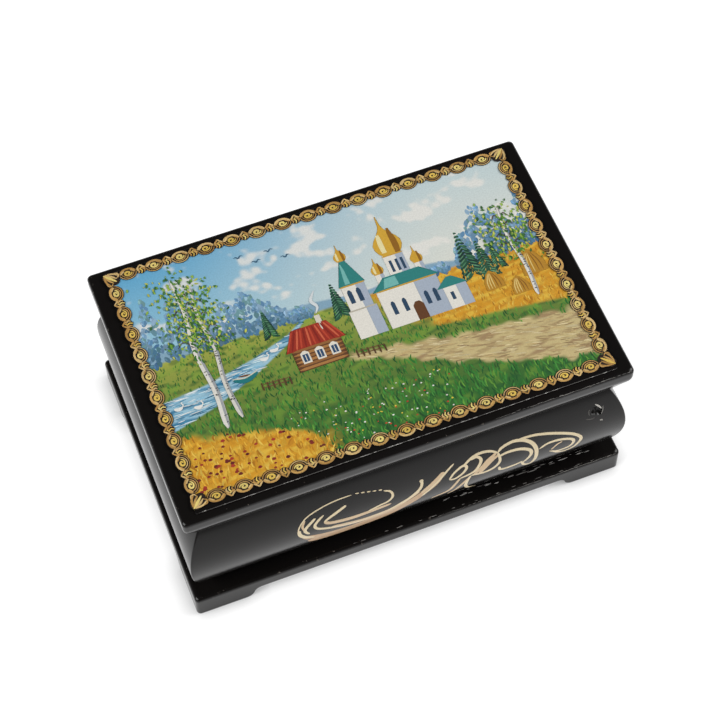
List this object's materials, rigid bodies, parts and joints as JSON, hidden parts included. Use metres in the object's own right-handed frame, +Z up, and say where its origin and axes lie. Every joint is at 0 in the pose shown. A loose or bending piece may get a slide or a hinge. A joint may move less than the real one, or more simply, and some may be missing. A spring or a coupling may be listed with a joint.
{
  "type": "lacquer box",
  "caption": "Rectangular lacquered keepsake box with swelling mitred walls, a plinth on bracket feet and a hinged undercut lid that carries a painted panel.",
  "frame": {"origin": "on the ground, under the middle of the box", "axes": "+X along the box, -Y to the front, +Z up"},
  "size_m": [0.1504, 0.0984, 0.063],
  "materials": {
    "black_lacquer": "polished black oil lacquer on papier-mache board",
    "red_lacquer": "red oil lacquer on papier-mache board",
    "painted_panel": "painted picture with a gold border under clear lacquer",
    "brass": "plain rolled brass"
  },
  "bodies": {
    "box": {"wall_front": "black_lacquer", "wall_back": "black_lacquer", "wall_left": "black_lacquer", "wall_right": "black_lacquer", "floor_board": "red_lacquer", "plinth_rail_front": "black_lacquer", "plinth_rail_back": "black_lacquer", "plinth_rail_left": "black_lacquer", "plinth_rail_right": "black_lacquer", "hinge_box_leaf_left": "brass", "hinge_box_leaf_right": "brass", "hinge_pin_left": "brass", "hinge_pin_right": "brass", "hinge_screws_box": "brass"},
    "lid": {"lid_board": "black_lacquer", "picture_panel": "painted_panel", "lid_rail_front": "black_lacquer", "lid_rail_back": "black_lacquer", "lid_rail_left": "black_lacquer", "lid_rail_right": "black_lacquer", "hinge_lid_leaf_left": "brass", "hinge_lid_leaf_right": "brass", "hinge_screws_lid": "brass"}
  },
  "joints": [
    {"name": "lid_hinge", "type": "hinge", "parent": "box", "child": "lid", "pos_m": [0, 0.04525, 0.0472], "axis": [-1, 0, 0], "range_deg": [0, 100]}
  ]
}
